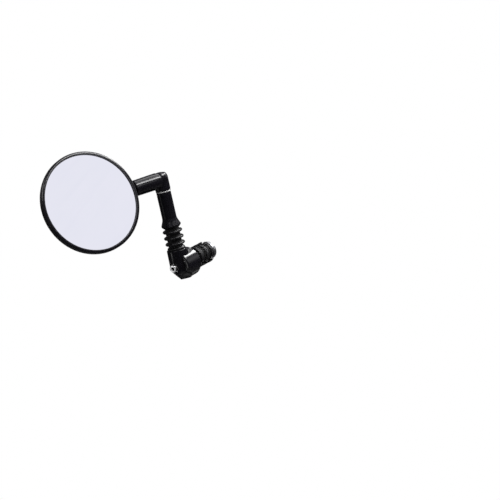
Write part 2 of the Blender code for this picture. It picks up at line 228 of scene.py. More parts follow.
FLOOR_DROP = 1.5
FLOOR_HALF = 40.0
floor_corners = np.array([(-1, -1), (1, -1), (1, 1), (-1, 1)]) * FLOOR_HALF
floor_mesh = bpy.data.meshes.new("floor")
floor_height = cad_low.z - FLOOR_DROP
floor_mesh.from_pydata([(x, y, floor_height) for x, y in floor_corners.tolist()], [], [(0, 1, 2, 3)])
floor = bpy.data.objects.new("floor", floor_mesh)
scene.collection.objects.link(floor)
paint = bpy.data.materials.new("pale_floor")
paint.use_nodes = True
tree = paint.node_tree
tree.nodes.clear()
matt = node(tree, "ShaderNodeBsdfDiffuse", Color=(0.30, 0.30, 0.31, 1))
bright = node(tree, "ShaderNodeEmission", Color=(1, 1, 1, 1), Strength=1.0)
end_in_mix(tree, matt, bright, seen_sharply(tree))
floor_mesh.materials.append(paint)
print("floor", FLOOR_DROP, "m below the object")

# %% Softboxes
PANEL_DISTANCE = 1.4
panels = []


def softbox(name, direction, width, length, radiance, lengthwise=(0, 0, 1), away=PANEL_DISTANCE, fade=0.12):
    """A glowing rectangle that faces the object. The camera's rays and sharp reflections pass through it,
    and so does everything from behind, so that the glass mirrors only the plain room. Its brightness
    rises from nothing at the edge to full at the given share of its width and length."""
    facing = Place(unit(direction) * away / MM, -unit(direction), np.cross(lengthwise, direction))
    half = np.array([width, length, 0.0]) / 2 / MM
    corners = facing.points(half * [(-1, -1, 0), (1, -1, 0), (1, 1, 0), (-1, 1, 0)])
    mesh = bpy.data.meshes.new(name)
    mesh.from_pydata((corners * MM).tolist(), [], [(0, 1, 2, 3)])
    across = mesh.uv_layers.new(name="across")
    across.data.foreach_set("uv", [0, 0, 1, 0, 1, 1, 0, 1])
    panel = bpy.data.objects.new(name, mesh)
    scene.collection.objects.link(panel)
    glow = bpy.data.materials.new(name)
    glow.cycles.emission_sampling = "FRONT"
    glow.use_nodes = True
    wires = glow.node_tree
    wires.nodes.clear()
    behind = wires.nodes.new("ShaderNodeNewGeometry").outputs["Backfacing"]
    passed = arithmetic(wires, "MAXIMUM", seen_sharply(wires), behind)
    spot = node(wires, "ShaderNodeSeparateXYZ", Vector=wires.nodes.new("ShaderNodeTexCoord").outputs["UV"])
    strength = radiance
    for axis in ("X", "Y"):
        inside = arithmetic(wires, "PINGPONG", spot.outputs[axis], 0.5)
        share = node(wires, "ShaderNodeMapRange", Value=inside, From_Max=fade).outputs[0]
        strength = arithmetic(wires, "MULTIPLY", share, strength)
    lit = node(wires, "ShaderNodeEmission", Color=(1, 1, 1, 1), Strength=strength)
    end_in_mix(wires, lit, wires.nodes.new("ShaderNodeBsdfTransparent"), passed)
    mesh.materials.append(glow)
    panels.append(panel)


softbox("key_strip", (0.295, -0.611, 0.734), 0.42, 1.2, 17.0, lengthwise=spindle, fade=0.3)
softbox("front_panel", (-0.13, -0.70, 0.70), 0.26, 0.26, 9.0)
softbox("back_high", (0.775, -0.24, 0.58), 0.42, 0.42, 20.0)
softbox("back_side", (0.775, 0.26, 0.57), 0.16, 0.24, 9.0)
softbox("over_camera", (-0.64, -0.25, 0.72), 0.24, 0.24, 9.0)
softbox("overhead", (0.575, 0.09, 0.81), 0.85, 0.85, 3.2, away=1.8, fade=0.3)
softbox("over_left", (-0.55, 0.10, 0.83), 1.0, 1.0, 5.0, away=1.8, fade=0.4)
softbox("over_tube", (0.46, -0.25, 0.85), 0.8, 0.8, 2.6, away=1.9, fade=0.3)
softbox("collar_light", (0.03, -0.90, 0.435), 0.20, 0.20, 3.0)
softbox("bolt_light", (-0.775, 0.593, -0.219), 0.24, 0.24, 1.7)
softbox("bar_side", (0.80, -0.52, 0.22), 0.9, 0.9, 1.2, fade=0.5)
softbox("from_below", (0.04, -0.10, -1.0), 0.28, 0.28, 0.8, fade=0.5)
softbox("under_bar", (0.775, 0.10, -0.62), 0.36, 0.36, 0.6, fade=0.4)
print(len(panels), "softboxes")

# %% [markdown]
# ## Surfaces of revolution
#
# A turned piece is a profile of radius and height carried round its axis. Both are worked out as whole
# arrays: a grid of heights and angles becomes the vertices, and shifted copies of the grid's numbers
# become the faces. Each corner of a profile gets a small arc, because moulded plastic and turned metal
# never have a perfect edge, and the arc is what catches the light.

# %% Profile and turning
ROUND_STEPS = 5
HOLD_SHARE = 0.15  # of a rounding, from each end of its arc to the ring that keeps the flat flat


def rounded(corners):
    """Corners of (radius, height, rounding). An arc of that rounding touches both sides of its corner: it
    starts at rounding / tan(half the corner's angle) from the corner. One ring just outside each end of
    the arc keeps the flat beside it flat."""
    spots = np.array([corner[:2] for corner in corners], float)
    count = len(corners)
    open_ends = spots[0, 0] == 0
    made = []
    for i, corner in enumerate(corners):
        size = corner[2] if len(corner) > 2 else 0
        if not size or (open_ends and i in (0, count - 1)):
            made.append(spots[i][None])
            continue
        before, after = unit(spots[i - 1] - spots[i]), unit(spots[(i + 1) % count] - spots[i])
        half = math.acos(np.clip(before @ after, -1, 1)) / 2
        reach = size / math.tan(half)
        centre = spots[i] + unit(before + after) * size / math.sin(half)
        first, last = spots[i] + before * reach - centre, spots[i] + after * reach - centre
        sweep = math.pi - 2 * half
        share = np.linspace(0, 1, ROUND_STEPS + 1)[:, None]
        blend = first * np.sin((1 - share) * sweep) + last * np.sin(share * sweep)
        arc = centre + blend / math.sin(sweep)
        hold = HOLD_SHARE * size
        made += [arc[:1] + before * hold, arc, arc[-1:] + after * hold]
    return np.concatenate(made)


def swept_area(profile):
    """Twice the area inside a profile, positive where it runs up its outer side."""
    after = np.roll(profile, -1, axis=0)
    return np.sum(profile[:, 0] * after[:, 1] - after[:, 0] * profile[:, 1])


def lay(name, points, faces):
    """One mesh object from points in the frame's millimetres and faces of point numbers."""
    mesh = bpy.data.meshes.new(name)
    mesh.from_pydata((points * MM).tolist(), [], faces)
    mesh.validate()
    piece = bpy.data.objects.new(name, mesh)
    scene.collection.objects.link(piece)
    return piece


def turned(name, profile, place, around=160, relief=None):
    """Point(height, angle) = (radius cos angle, radius sin angle, height) for each point of the profile.
    A profile that starts and ends on the axis gets one point at each pole, and any other closes on
    itself. Relief is a function of angle, radius and height that gives the final radius."""
    profile = np.asarray(profile, float)
    if swept_area(profile) < 0:
        profile = profile[::-1]
    poles = profile[0, 0] == 0
    rows = profile[1:-1] if poles else profile
    angle = np.linspace(0, 2 * np.pi, around, endpoint=False)[None, :]
    radius, height = rows[:, :1] + 0 * angle, rows[:, 1:] + 0 * angle
    if relief:
        radius = relief(angle, radius, height)
    points = np.stack([radius * np.cos(angle), radius * np.sin(angle), height], -1).reshape(-1, 3)
    number = np.arange(len(rows) * around).reshape(len(rows), around)
    beside = np.roll(number, -1, axis=1)
    if poles:
        quads = np.stack([number[:-1], beside[:-1], beside[1:], number[1:]], -1)
        ends = np.array([[0, 0, profile[0, 1]], [0, 0, profile[-1, 1]]])
        points = np.concatenate([points, ends])
        low, high = len(points) - 2, len(points) - 1
        fans = np.stack([0 * number[0] + low, beside[0], number[0]], -1).tolist()
        fans += np.stack([number[-1], beside[-1], 0 * number[0] + high], -1).tolist()
    else:
        above, corner = np.roll(number, -1, axis=0), np.roll(beside, -1, axis=0)
        quads = np.stack([number, beside, corner, above], -1)
        fans = []
    return lay(name, place.points(points), quads.reshape(-1, 4).tolist() + fans)


pin = rounded([(0, 0), (2, 0, 0.5), (2, 4, 0.5), (0, 4)])
print("a pin with two rounded corners takes", len(pin), "points")

# %% [markdown]
# ## Cutting and joining
#
# A few pieces aren't round all the way: the housing has flats and a bolt recess, and the elbow is two
# tubes in one moulding. Each starts as turned surfaces, which exact Booleans join and cut as a mill
# would. The tools are then thrown away and a narrow bevel breaks the new edges.

# %% Boolean tools
SMOOTH_BELOW = math.radians(34)


def box_tool(name, low, high, place):
    """A box between two corners in a place's own axes."""
    low, high = np.array(low, float), np.array(high, float)
    pick = np.array([(x, y, z) for z in (0, 1) for y in (0, 1) for x in (0, 1)])
    faces = [(0, 2, 3, 1), (4, 5, 7, 6), (0, 1, 5, 4), (2, 6, 7, 3), (0, 4, 6, 2), (1, 3, 7, 5)]
    return lay(name, place.points(low + pick * (high - low)), faces)


def prism_tool(name, across_flats, low, high, place, sides=6):
    """A regular prism, by its distance across flats: radius = half of that / cos(half a side's angle)."""
    radius = across_flats / 2 / math.cos(math.pi / sides)
    return turned(name, [(0, low), (radius, low), (radius, high), (0, high)], place, sides)


def settle(piece, tools=(), soften=0.0, union=()):
    """Joins, cuts and softens a piece, keeps the result as its plain mesh, and removes the tools."""
    for other, operation in [(o, "UNION") for o in union] + [(o, "DIFFERENCE") for o in tools]:
        step = piece.modifiers.new(other.name, "BOOLEAN")
        step.operation, step.object, step.solver = operation, other, "EXACT"
    if soften:
        bevel = piece.modifiers.new("soften", "BEVEL")
        bevel.width, bevel.segments = soften * MM, 3
        bevel.limit_method, bevel.angle_limit = "ANGLE", math.radians(40)
        bevel.miter_outer = "MITER_ARC"
    if piece.modifiers:
        seen = piece.evaluated_get(bpy.context.evaluated_depsgraph_get())
        piece.data = bpy.data.meshes.new_from_object(seen)
        piece.modifiers.clear()
    for other in (*union, *tools):
        bpy.data.objects.remove(other)
    piece.data.shade_smooth()
    piece.data.set_sharp_from_angle(angle=SMOOTH_BELOW)
    return piece


made_pieces = []


def fit(piece, body, finish, slot, *stands_for):
    """Gives a piece its finish and its body, and hides the plain solids that it stands for."""
    piece.data.materials.clear()
    piece.data.materials.append(finish)
    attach(piece, body)
    if stands_for:
        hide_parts(*stands_for)
    made_pieces.append(piece)
    print(f"{piece.name}: {len(piece.data.polygons)} faces on {body}")


# %% [markdown]
# ## Effects that several finishes share
#
# Each effect is a node group with its own inputs. Moulded grain is the fine spark texture that a steel
# mould leaves on plastic. Turning marks are the fine rings of a lathe. Worn edges come from how sharply
# the surface turns, and dust lies where the surface looks up. The groups only put out masks and heights,
# so each finish decides what to do with them.

# %% Node groups


def group(name, inputs, outputs):
    """An empty node group with its sockets, and the nodes that stand for its two ends."""
    made = bpy.data.node_groups.new(name, "ShaderNodeTree")
    for socket, kind, value in inputs:
        there = made.interface.new_socket(socket, in_out="INPUT", socket_type=kind)
        if value is not None:
            there.default_value = value
    for socket in outputs:
        made.interface.new_socket(socket, in_out="OUTPUT", socket_type="NodeSocketFloat")
    return made, made.nodes.new("NodeGroupInput"), made.nodes.new("NodeGroupOutput")


def spread(tree, value, low, high, to_low=0.0, to_high=1.0):
    """Maps low..high to to_low..to_high, and holds it inside them."""
    limits = {"From_Min": low, "From_Max": high, "To_Min": to_low, "To_Max": to_high}
    return node(tree, "ShaderNodeMapRange", Value=value, **limits).outputs[0]


VECTOR, FLOAT = "NodeSocketVector", "NodeSocketFloat"

grain_group, taken, given = group(
    "moulded_grain", [("Vector", VECTOR, None), ("Grain per metre", FLOAT, 3500.0)], ["Height", "Unevenness"]
)
pits = node(grain_group, "ShaderNodeTexNoise", Vector=taken.outputs["Vector"], Detail=3.0, Roughness=0.6)
grain_group.links.new(taken.outputs["Grain per metre"], pits.inputs["Scale"])
patches = node(grain_group, "ShaderNodeTexNoise", Vector=taken.outputs["Vector"], Scale=90.0, Detail=4.0)
grain_group.links.new(pits.outputs[0], given.inputs["Height"])
grain_group.links.new(spread(grain_group, patches.outputs[0], 0.3, 0.7), given.inputs["Unevenness"])

wear_group, taken, given = group(
    "worn_edges", [("Vector", VECTOR, None), ("Start", FLOAT, 0.53), ("Full", FLOAT, 0.62)], ["Mask"]
)
turn = wear_group.nodes.new("ShaderNodeNewGeometry").outputs["Pointiness"]
edge = node(
    wear_group, "ShaderNodeMapRange", Value=turn,
    From_Min=taken.outputs["Start"], From_Max=taken.outputs["Full"],
)
broken = node(wear_group, "ShaderNodeTexNoise", Vector=taken.outputs["Vector"], Scale=420.0, Detail=5.0)
kept = spread(wear_group, broken.outputs[0], 0.42, 0.62)
wear_group.links.new(arithmetic(wear_group, "MULTIPLY", edge.outputs[0], kept), given.inputs["Mask"])

dust_group, taken, given = group(
    "settled_dust", [("Vector", VECTOR, None), ("Specks per metre", FLOAT, 1600.0)], ["Mask"]
)
outward = dust_group.nodes.new("ShaderNodeNewGeometry").outputs["Normal"]
facing = node(dust_group, "ShaderNodeSeparateXYZ", Vector=outward)
looks_up = spread(dust_group, facing.outputs["Z"], 0.1, 1.0)
specks = node(dust_group, "ShaderNodeTexNoise", Vector=taken.outputs["Vector"], Detail=4.0, Roughness=0.7)
dust_group.links.new(taken.outputs["Specks per metre"], specks.inputs["Scale"])
lying = spread(dust_group, specks.outputs[0], 0.5, 0.75)
dust_group.links.new(arithmetic(dust_group, "MULTIPLY", looks_up, lying), given.inputs["Mask"])

lathe_group, taken, given = group("turning_marks", [("Vector", VECTOR, None)], ["Height", "Streaks"])
lines = node(
    lathe_group, "ShaderNodeTexNoise", Vector=taken.outputs["Vector"], Scale=1.0, Detail=3.0, Roughness=0.7
)
lathe_group.links.new(lines.outputs[0], given.inputs["Height"])
lathe_group.links.new(spread(lathe_group, lines.outputs[0], 0.35, 0.65), given.inputs["Streaks"])

scratch_group, taken, given = group(
    "fine_scratches", [("Vector", VECTOR, None), ("Per metre", FLOAT, 260.0)], ["Mask"]
)
bent = node(scratch_group, "ShaderNodeTexNoise", Vector=taken.outputs["Vector"], Scale=30.0, Detail=2.0)
wavy = scratch_group.nodes.new("ShaderNodeVectorMath")
wavy.operation = "MULTIPLY_ADD"
scratch_group.links.new(bent.outputs["Color"], wavy.inputs[0])
wavy.inputs[1].default_value = (0.004, 0.004, 0.004)
scratch_group.links.new(taken.outputs["Vector"], wavy.inputs[2])
cells = node(scratch_group, "ShaderNodeTexVoronoi", Vector=wavy.outputs[0])
cells.feature = "DISTANCE_TO_EDGE"
scratch_group.links.new(taken.outputs["Per metre"], cells.inputs["Scale"])
thin = spread(scratch_group, cells.outputs["Distance"], 0.0, 0.012, 1.0, 0.0)
rare = node(scratch_group, "ShaderNodeTexNoise", Vector=taken.outputs["Vector"], Scale=75.0, Detail=2.0)
kept = spread(scratch_group, rare.outputs[0], 0.55, 0.7)
scratch_group.links.new(arithmetic(scratch_group, "MULTIPLY", thin, kept), given.inputs["Mask"])
print("node groups:", [g.name for g in bpy.data.node_groups])

# %% [markdown]
# ## Finishes
#
# A finish keeps its own Principled shader. Constants such as the refractive index sit on the shader's
# sockets, and only what changes over the surface is linked. Black plastic is never one black: patches of
# the mould print duller, edges polish paler in use, and a little dust lies on what looks up.

# %% Finish tools


def use_group(tree, made, **inputs):
    """Places a node group in a material, and sets or links its inputs by name."""
    placed = tree.nodes.new("ShaderNodeGroup")
    placed.node_tree = made
    for name, value in inputs.items():
        feed(tree, placed.inputs[name.replace("_", " ")], value)
    return placed


def tint(tree, under, over, share):
    """Mixes two colours by a share that changes over the surface."""
    made = tree.nodes.new("ShaderNodeMix")
    made.data_type = "RGBA"
    for index, value in ((0, share), (6, under), (7, over)):
        feed(tree, made.inputs[index], value)
    return made.outputs[2]


def start_finish(name, **constants):
    """A new material with its Principled shader and the piece's own coordinates."""
    made = bpy.data.materials.new(name)
    made.use_nodes = True
    tree = made.node_tree
    shader = tree.nodes["Principled BSDF"]
    for socket, value in constants.items():
        shader.inputs[socket.replace("_", " ")].default_value = value
    return made, tree, shader, tree.nodes.new("ShaderNodeTexCoord").outputs["Object"]


def bump(tree, shader, height, distance):
    """Tilts the shading by a height that changes over the surface, at a depth in metres."""
    made = node(tree, "ShaderNodeBump", Height=height, Distance=distance, Strength=1.0)
    tree.links.new(made.outputs[0], shader.inputs["Normal"])


def moulded(name, colour, roughness, grain=3500.0, depth=0.000002, wear=0.12, dust=0.02, specular=0.5):
    """Moulded plastic or rubber: grain in the bump, patches in the roughness, pale edges and dust in the
    colour."""
    made, tree, shader, spot = start_finish(name, Specular_IOR_Level=specular)
    texture = use_group(tree, grain_group, Vector=spot, Grain_per_metre=grain)
    worn = use_group(tree, wear_group, Vector=spot)
    dusty = use_group(tree, dust_group, Vector=spot)
    base = np.array(colour)
    shade = tint(tree, (*base * 0.8, 1), (*base * 1.25, 1), texture.outputs["Unevenness"])
    shade = tint(tree, shade, (*(base + 0.05), 1), arithmetic(tree, "MULTIPLY", worn.outputs[0], wear))
    shade = tint(tree, shade, (0.34, 0.33, 0.31, 1), arithmetic(tree, "MULTIPLY", dusty.outputs[0], dust))
    tree.links.new(shade, shader.inputs["Base Color"])
    patchy = spread(tree, texture.outputs["Unevenness"], 0, 1, roughness - 0.015, roughness + 0.025)
    rough = arithmetic(tree, "MULTIPLY_ADD", dusty.outputs[0], 0.06, patchy, clamp=True)
    tree.links.new(rough, shader.inputs["Roughness"])
    bump(tree, shader, texture.outputs["Height"], depth)
    return made


def machined(name, colour, roughness, lines=(400.0, 400.0, 6000.0), place=arm, depth=0.000004, stain=0.35):
    """Turned or plated metal. The pattern is squeezed along the piece's axis, so that it reads as
    rings."""
    made, tree, shader, spot = start_finish(name, Metallic=1.0)
    own = node(tree, "ShaderNodeMapping", Vector=spot)
    own.vector_type = "TEXTURE"
    own.inputs["Rotation"].default_value = place.matrix().to_euler()
    own.inputs["Location"].default_value = Vector(place.origin) * MM
    stretched = tree.nodes.new("ShaderNodeVectorMath")
    stretched.operation = "MULTIPLY"
    stretched.inputs[1].default_value = lines
    tree.links.new(own.outputs[0], stretched.inputs[0])
    marks = use_group(tree, lathe_group, Vector=stretched.outputs[0])
    texture = use_group(tree, grain_group, Vector=spot, Grain_per_metre=900.0)
    scratched = use_group(tree, scratch_group, Vector=spot, Per_metre=420.0)
    base = np.array(colour)
    shade = tint(tree, (*base * (1 - stain), 1), (*base, 1), texture.outputs["Unevenness"])
    shade = tint(tree, shade, (*np.minimum(base * 1.25, 1), 1), scratched.outputs[0])
    tree.links.new(shade, shader.inputs["Base Color"])
    ringed = spread(tree, marks.outputs["Streaks"], 0, 1, roughness - 0.06, roughness + 0.08)
    tree.links.new(ringed, shader.inputs["Roughness"])
    bump(tree, shader, marks.outputs["Height"], depth)
    return made


# %% [markdown]
# The arm, the elbow and the head are one kind of black nylon with a satin shine and a slight violet cast.
# The clamp's cap and housing are the same plastic with a coarser grain, because they come from a rougher
# mould. The rim has the finest grain, and the rubber sleeve is duller than all of them.

# %% Plastics and rubber
VIOLET_BLACK = (0.0085, 0.0078, 0.0115)
satin_black = moulded("satin_black", VIOLET_BLACK, 0.19, grain=3800.0, depth=0.0000012)
arm_black = moulded("arm_black", VIOLET_BLACK, 0.25, grain=3800.0, depth=0.0000012, specular=0.3)
clamp_black = moulded("clamp_black", VIOLET_BLACK, 0.14, grain=2600.0, depth=0.0000016, wear=0.18)
rim_black = moulded("rim_black", VIOLET_BLACK, 0.18, grain=5000.0, depth=0.0000006, wear=0.05, dust=0.01)
shell_black = moulded("shell_black", VIOLET_BLACK, 0.33, grain=2400.0, depth=0.000004)
sleeve_rubber = moulded("sleeve_rubber", (0.0085, 0.008, 0.0095), 0.34, grain=2200.0, depth=0.000003)
inner_black = moulded("inner_black", (0.022, 0.022, 0.024), 0.46, grain=2400.0, depth=0.000006, wear=0.4)
band_rubber = moulded("band_rubber", (0.014, 0.0135, 0.013), 0.55, grain=3000.0, depth=0.000005)
pale_nylon = moulded("pale_nylon", (0.52, 0.50, 0.45), 0.45, grain=2800.0, depth=0.000004)
white_nylon = moulded("white_nylon", (0.78, 0.78, 0.78), 0.38, grain=2800.0, depth=0.000003, wear=0.0)
black_foam = moulded("black_foam", (0.03, 0.03, 0.03), 0.9, grain=1500.0, depth=0.00008, specular=0.2)

# %% [markdown]
# The metals differ by how they were made. Screws and washers are zinc-plated and bright, and the lathe
# leaves rings on them. The expander's nut is cast and matt, and the threaded insert is brass. The
# pattern's axis follows each piece, so the rings run the way that a lathe cuts them.

# %% Metals
bolt_steel = machined("bolt_steel", (0.90, 0.90, 0.91), 0.26, place=bar, stain=0.08)
screw_steel = machined("screw_steel", (0.60, 0.60, 0.62), 0.28, place=arm)
spindle_steel = machined("spindle_steel", (0.60, 0.60, 0.62), 0.25, place=tube)
saddle_steel = machined("saddle_steel", (0.60, 0.60, 0.62), 0.28, place=glass)
turned_brass = machined("turned_brass", (0.72, 0.50, 0.22), 0.28, place=arm)
SOCKET_RADIUS_M, SOCKET_FADE_M = 0.00165, 0.00012


def add_painted_socket_shade(finish):
    """Painted shade darkens the inside of the bolt's hexagon socket, which is all that lies this close to
    the bar's axis."""
    tree = finish.node_tree
    shader = tree.nodes["Principled BSDF"]
    unshaded_colour = shader.inputs["Base Color"].links[0].from_socket
    spot = tree.nodes.new("ShaderNodeTexCoord").outputs["Object"]
    sides = node(tree, "ShaderNodeVectorMath")
    sides.operation = "MULTIPLY"
    tree.links.new(spot, sides.inputs[0])
    sides.inputs[1].default_value = (0.0, 1.0, 1.0)
    away = node(tree, "ShaderNodeVectorMath")
    away.operation = "LENGTH"
    tree.links.new(sides.outputs[0], away.inputs[0])
    start = SOCKET_RADIUS_M - SOCKET_FADE_M
    inside = spread(tree, away.outputs["Value"], start, SOCKET_RADIUS_M, 0.92, 0.0)
    # Painted shade: the hexagon socket is darkened to (0.03, 0.028, 0.026), which stands in for shade in the
    # recess.
    tree.links.new(tint(tree, unshaded_colour, (0.03, 0.028, 0.026, 1), inside), shader.inputs["Base Color"])


add_painted_socket_shade(bolt_steel)
cast_zinc = machined(
    "cast_zinc", (0.42, 0.42, 0.44), 0.42, lines=(900.0, 900.0, 900.0), place=bar, depth=0.00002
)

# %% [markdown]
# The glass looks silvered on its front. It is a plain metallic shader with no roughness, so it shows the
# studio sharply. Faint diagonal streaks across it are a painted reflection, which changes only the
# colour.

# %% Silvered glass
silvered, tree, shader, spot = start_finish("silvered_glass", Metallic=1.0, Roughness=0.0)
STREAK_TURN = math.radians(30)
across = node(tree, "ShaderNodeMapping", Vector=spot)
across.vector_type = "TEXTURE"
streak_turning = glass.matrix().to_3x3() @ Matrix.Rotation(STREAK_TURN, 3, "Z")
across.inputs["Rotation"].default_value = streak_turning.to_euler()
across.inputs["Scale"].default_value = (0.09, 0.010, 0.05)
# Painted reflection: faint diagonal streaks, mixed into the glass's colour below.
reflected_streaks = node(tree, "ShaderNodeTexNoise", Vector=across.outputs[0], Scale=1.0, Detail=2.0, Roughness=0.4)
painted_reflection = spread(tree, reflected_streaks.outputs[0], 0.55, 0.80)
haze = node(tree, "ShaderNodeTexNoise", Vector=spot, Scale=26.0, Detail=2.0)
hazy = spread(tree, haze.outputs[0], 0.35, 0.65)
cool = tint(tree, (0.780, 0.785, 0.880, 1), (0.795, 0.795, 0.890, 1), hazy)
# Painted reflection: the streaks take the colour (0.765, 0.77, 0.868).
tree.links.new(tint(tree, cool, (0.765, 0.77, 0.868, 1), painted_reflection), shader.inputs["Base Color"])
print(len(bpy.data.materials), "finishes")

# %% [markdown]
# ## Mirror glass
#
# The glass is a slice of a large ball: its front stands highest in the middle, so that it shows a wide
# field. Both faces follow the circle of the ball's radius, and the edge is ground with a small rounding.

# %% Glass
GLASS_RADIUS = 41.4
GLASS_EDGE = -1.2  # height of the front at the glass's own edge
GLASS_THICK = 1.6
BALL_RADIUS = 300.0
GROUND_EDGE = 0.15


def glass_rise(radius):
    """Rise over the edge = sqrt(ball radius^2 - radius^2) - the same at the edge."""
    return np.sqrt(BALL_RADIUS**2 - radius**2) - math.sqrt(BALL_RADIUS**2 - GLASS_RADIUS**2)


out = np.linspace(0, GLASS_RADIUS - GROUND_EDGE, 40)
front = np.stack([out, GLASS_EDGE + glass_rise(out)], -1)[::-1]
back = np.stack([out, GLASS_EDGE - GLASS_THICK + glass_rise(out)], -1)
side = np.array([
    (GLASS_RADIUS, GLASS_EDGE - GLASS_THICK + GROUND_EDGE), (GLASS_RADIUS, GLASS_EDGE - GROUND_EDGE),
])
lens = settle(turned("glass_convex", np.concatenate([back, side, front]), glass, 192))
fit(lens, "head", silvered, "mirror_glass", "mirror_glass")

# %% [markdown]
# ## Rim
#
# A narrow ring snaps over the head and holds the glass. Its front falls away to the outside in a quarter
# of an ellipse and has a crisp inner edge, so it is grey on the side of the light and black on the other.

# %% Rim
RIM_OUTER, RIM_INNER = 42.7, 40.0
CROWN_WIDTH, CROWN_FALL = 2.2, 1.3
SKIRT_RADIUS, SKIRT_END = 41.7, -2.6  # the skirt's inside and its back edge
LIP_UNDER = -0.75
a = np.linspace(0, np.pi / 2, 20)
crown = np.stack([RIM_OUTER - CROWN_WIDTH + CROWN_WIDTH * np.cos(a), CROWN_FALL * (np.sin(a) - 1)], -1)
skirt = rounded([
    (SKIRT_RADIUS, LIP_UNDER), (SKIRT_RADIUS, SKIRT_END, 0.1), (RIM_OUTER, SKIRT_END, 0.25),
    (RIM_OUTER, -CROWN_FALL),
])[:-1]
lip = rounded([
    (RIM_INNER + 0.4, 0), (RIM_INNER, 0, 0.12), (RIM_INNER, LIP_UNDER, 0.1), (SKIRT_RADIUS, LIP_UNDER),
])[:-1]
rim = settle(turned("rim", np.concatenate([skirt, crown, lip]), glass, 256))
fit(rim, "head", rim_black, "satin_plastic", "mirror_rim")

# %% [markdown]
# ## Head shell
#
# The back of the head is a shallow dome, flatter in the middle and rounder at the edge than a ball, which
# a superellipse gives. A round socket for the cross tube's spindle runs into it from the side, and a
# block inside carries the saddle that clamps the spindle.

# %% Shell
SHELL_POWER = 2.4
SPINDLE_HOLE, POCKET_RADIUS = 2.7, 3.8
BOSS_BEHIND, CRADLE_BEHIND = 3.75, 11.5  # of the boss's flat and the cradle's back, from the rim's front
SADDLE_LOW, SADDLE_HIGH, SADDLE_HALF = -31.0, -24.4, 10.8
SOCKET_IN, SOCKET_OUT, SOCKET_RADIUS = -32.6, -43.4, 6.3
socket = Place(head_centre, spindle, glass_normal)


def dome(radius, top, depth, count=36):
    """Radius = R sin(a)^(2/p) and height = top - depth cos(a)^(2/p), from the middle to the edge."""
    quarter = np.linspace(0, np.pi / 2, count)
    wide = radius * np.sin(quarter) ** (2 / SHELL_POWER)
    return np.stack([wide, top - depth * np.abs(np.cos(quarter)) ** (2 / SHELL_POWER)], -1)


DOME_TOP, DOME_DEPTH = -3.6, 10.8
HOLLOW_RADIUS, HOLLOW_TOP, HOLLOW_DEPTH = 39.4, -4.4, 8.2
LEDGE = -3.9  # of the step inside the shell's edge, a little under the foam
outer = dome(RIM_OUTER, DOME_TOP, DOME_DEPTH)
outer[-1, 1] = DOME_TOP
brim = rounded([
    (RIM_OUTER, DOME_TOP), (RIM_OUTER, -3.0, 0.15), (SKIRT_RADIUS, -2.9, 0.1), (SKIRT_RADIUS, LEDGE),
    (HOLLOW_RADIUS, LEDGE, 0.1), (HOLLOW_RADIUS, HOLLOW_TOP),
])[1:-1]
inner = dome(HOLLOW_RADIUS, HOLLOW_TOP, HOLLOW_DEPTH)[::-1]
shell = turned("head_shell", np.concatenate([outer, brim, inner]), glass, 192)
boss = turned(
    "boss",
    rounded([(0, SOCKET_OUT), (SOCKET_RADIUS, SOCKET_OUT, 0.5), (SOCKET_RADIUS, SOCKET_IN), (0, SOCKET_IN)]),
    socket, 96,
)
boss_flat = box_tool("boss_flat", (-60, GLASS_AHEAD - BOSS_BEHIND, -15), (0, 20, 15), head)
boss = settle(boss, [boss_flat])
cradle = box_tool(
    "cradle", (SADDLE_LOW, GLASS_AHEAD - CRADLE_BEHIND, -SADDLE_HALF), (SADDLE_HIGH, -0.3, SADDLE_HALF), head
)
pocket_from = SADDLE_LOW - 0.5
pocket = turned(
    "pocket",
    [(0, -50), (SPINDLE_HOLE, -50), (SPINDLE_HOLE, pocket_from), (POCKET_RADIUS, pocket_from),
     (POCKET_RADIUS, -15), (0, -15)],
    socket, 64,
)
settle(shell, [pocket], union=[boss, cradle])
fit(shell, "head", shell_black, "satin_plastic", "mirror_shell")

# %% [markdown]
# ## Elbow and cross tube
#
# One moulding turns the corner from the upright arm to the head. The upright barrel has a soft shoulder
# on top, and the cross tube leaves it square. The tube narrows slightly towards the head, so that it
# draws out of the mould.

# %% Elbow
ELBOW_LOW, ELBOW_TOP = 65.4, 79.9
barrel = turned(
    "elbow_body",
    rounded([(0, ELBOW_LOW), (6.25, ELBOW_LOW, 0.25), (6.45, 66.6, 0.3), (6.45, 76.2, 1.5), (5.9, 78.4, 1.2),
             (4.9, ELBOW_TOP, 0.6), (4.3, ELBOW_TOP), (0, ELBOW_TOP)]),
    arm, 160,
)
TUBE_END = 26.4
TUBE_NEAR, TUBE_FAR = 6.85, 6.65
cross_tube = turned(
    "cross_tube",
    np.concatenate([
        [(0, 0.5), (6.0, 0.5), (6.4, 1.2), (TUBE_NEAR, 3.0), (TUBE_NEAR, 8.0)],
        rounded([(6.75, 20.0), (TUBE_FAR, TUBE_END, 0.5), (3.3, TUBE_END), (3.3, 8.6), (0, 8.6)]),
    ]),
    tube, 160,
)
SCREW_HOLE, WELL_RADIUS, WELL_FLOOR = 2.3, 4.2, 70.2
shaft = turned(
    "shaft",
    [(0, 60), (SCREW_HOLE, 60), (SCREW_HOLE, WELL_FLOOR), (WELL_RADIUS, WELL_FLOOR),
     (WELL_RADIUS, 90), (0, 90)],
    arm, 64,
)
GRUB_OUT = 17.0
grub_place = Place(arm.origin + GRUB_OUT * spindle, UP, spindle)
grub_hole = turned("grub_hole", [(0, 60), (1.8, 60), (1.8, 72.6), (0, 72.6)], grub_place, 48)
elbow = settle(barrel, [shaft, grub_hole], soften=0.25, union=[cross_tube])
fit(elbow, "elbow", satin_black, "satin_plastic", "elbow")

# %% [markdown]
# A small domed plug closes the hole over the swivel's screw. It is what glints on top of the elbow.

